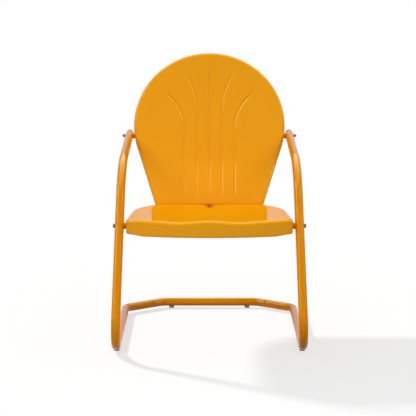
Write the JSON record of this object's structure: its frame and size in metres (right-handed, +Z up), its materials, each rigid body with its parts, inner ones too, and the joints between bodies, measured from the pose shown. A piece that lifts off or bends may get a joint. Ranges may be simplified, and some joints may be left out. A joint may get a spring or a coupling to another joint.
{
  "type": "lawn chair",
  "caption": "Metal lawn chair that springs on bent tube side frames, with a round pressed back that has fountain grooves and a dished pressed seat.",
  "frame": {"origin": "on the floor under the middle of the chair's bounding box", "axes": "+Z up, the sitter faces -Y, +X to the right as seen from the front"},
  "size_m": [0.5542, 0.7128, 0.8162],
  "materials": {
    "enamel": "glossy",
    "zinc": "satin",
    "nylon": "matte"
  },
  "bodies": {
    "root": {"left_side_frame": "enamel", "right_side_frame": "enamel", "rear_base_bar": "enamel", "seat_pan": "enamel", "back_panel": "enamel", "left_seat_spacer": "enamel", "right_seat_spacer": "enamel", "left_back_spacer": "enamel", "right_back_spacer": "enamel", "left_arm_plug": "enamel", "right_arm_plug": "enamel", "left_seam_screw": "zinc", "right_seam_screw": "zinc", "left_seat_washer": "zinc", "right_seat_washer": "zinc", "left_seat_bolt": "zinc", "right_seat_bolt": "zinc", "left_seat_nut": "zinc", "right_seat_nut": "zinc", "left_back_washer": "zinc", "right_back_washer": "zinc", "left_back_bolt": "zinc", "right_back_bolt": "zinc", "left_back_nut": "zinc", "right_back_nut": "zinc", "left_join_bolt": "zinc", "middle_join_bolt": "zinc", "right_join_bolt": "zinc", "left_join_nut": "zinc", "middle_join_nut": "zinc", "right_join_nut": "zinc", "front_left_glide": "nylon", "front_right_glide": "nylon", "rear_left_glide": "nylon", "rear_right_glide": "nylon"}
  },
  "joints": []
}
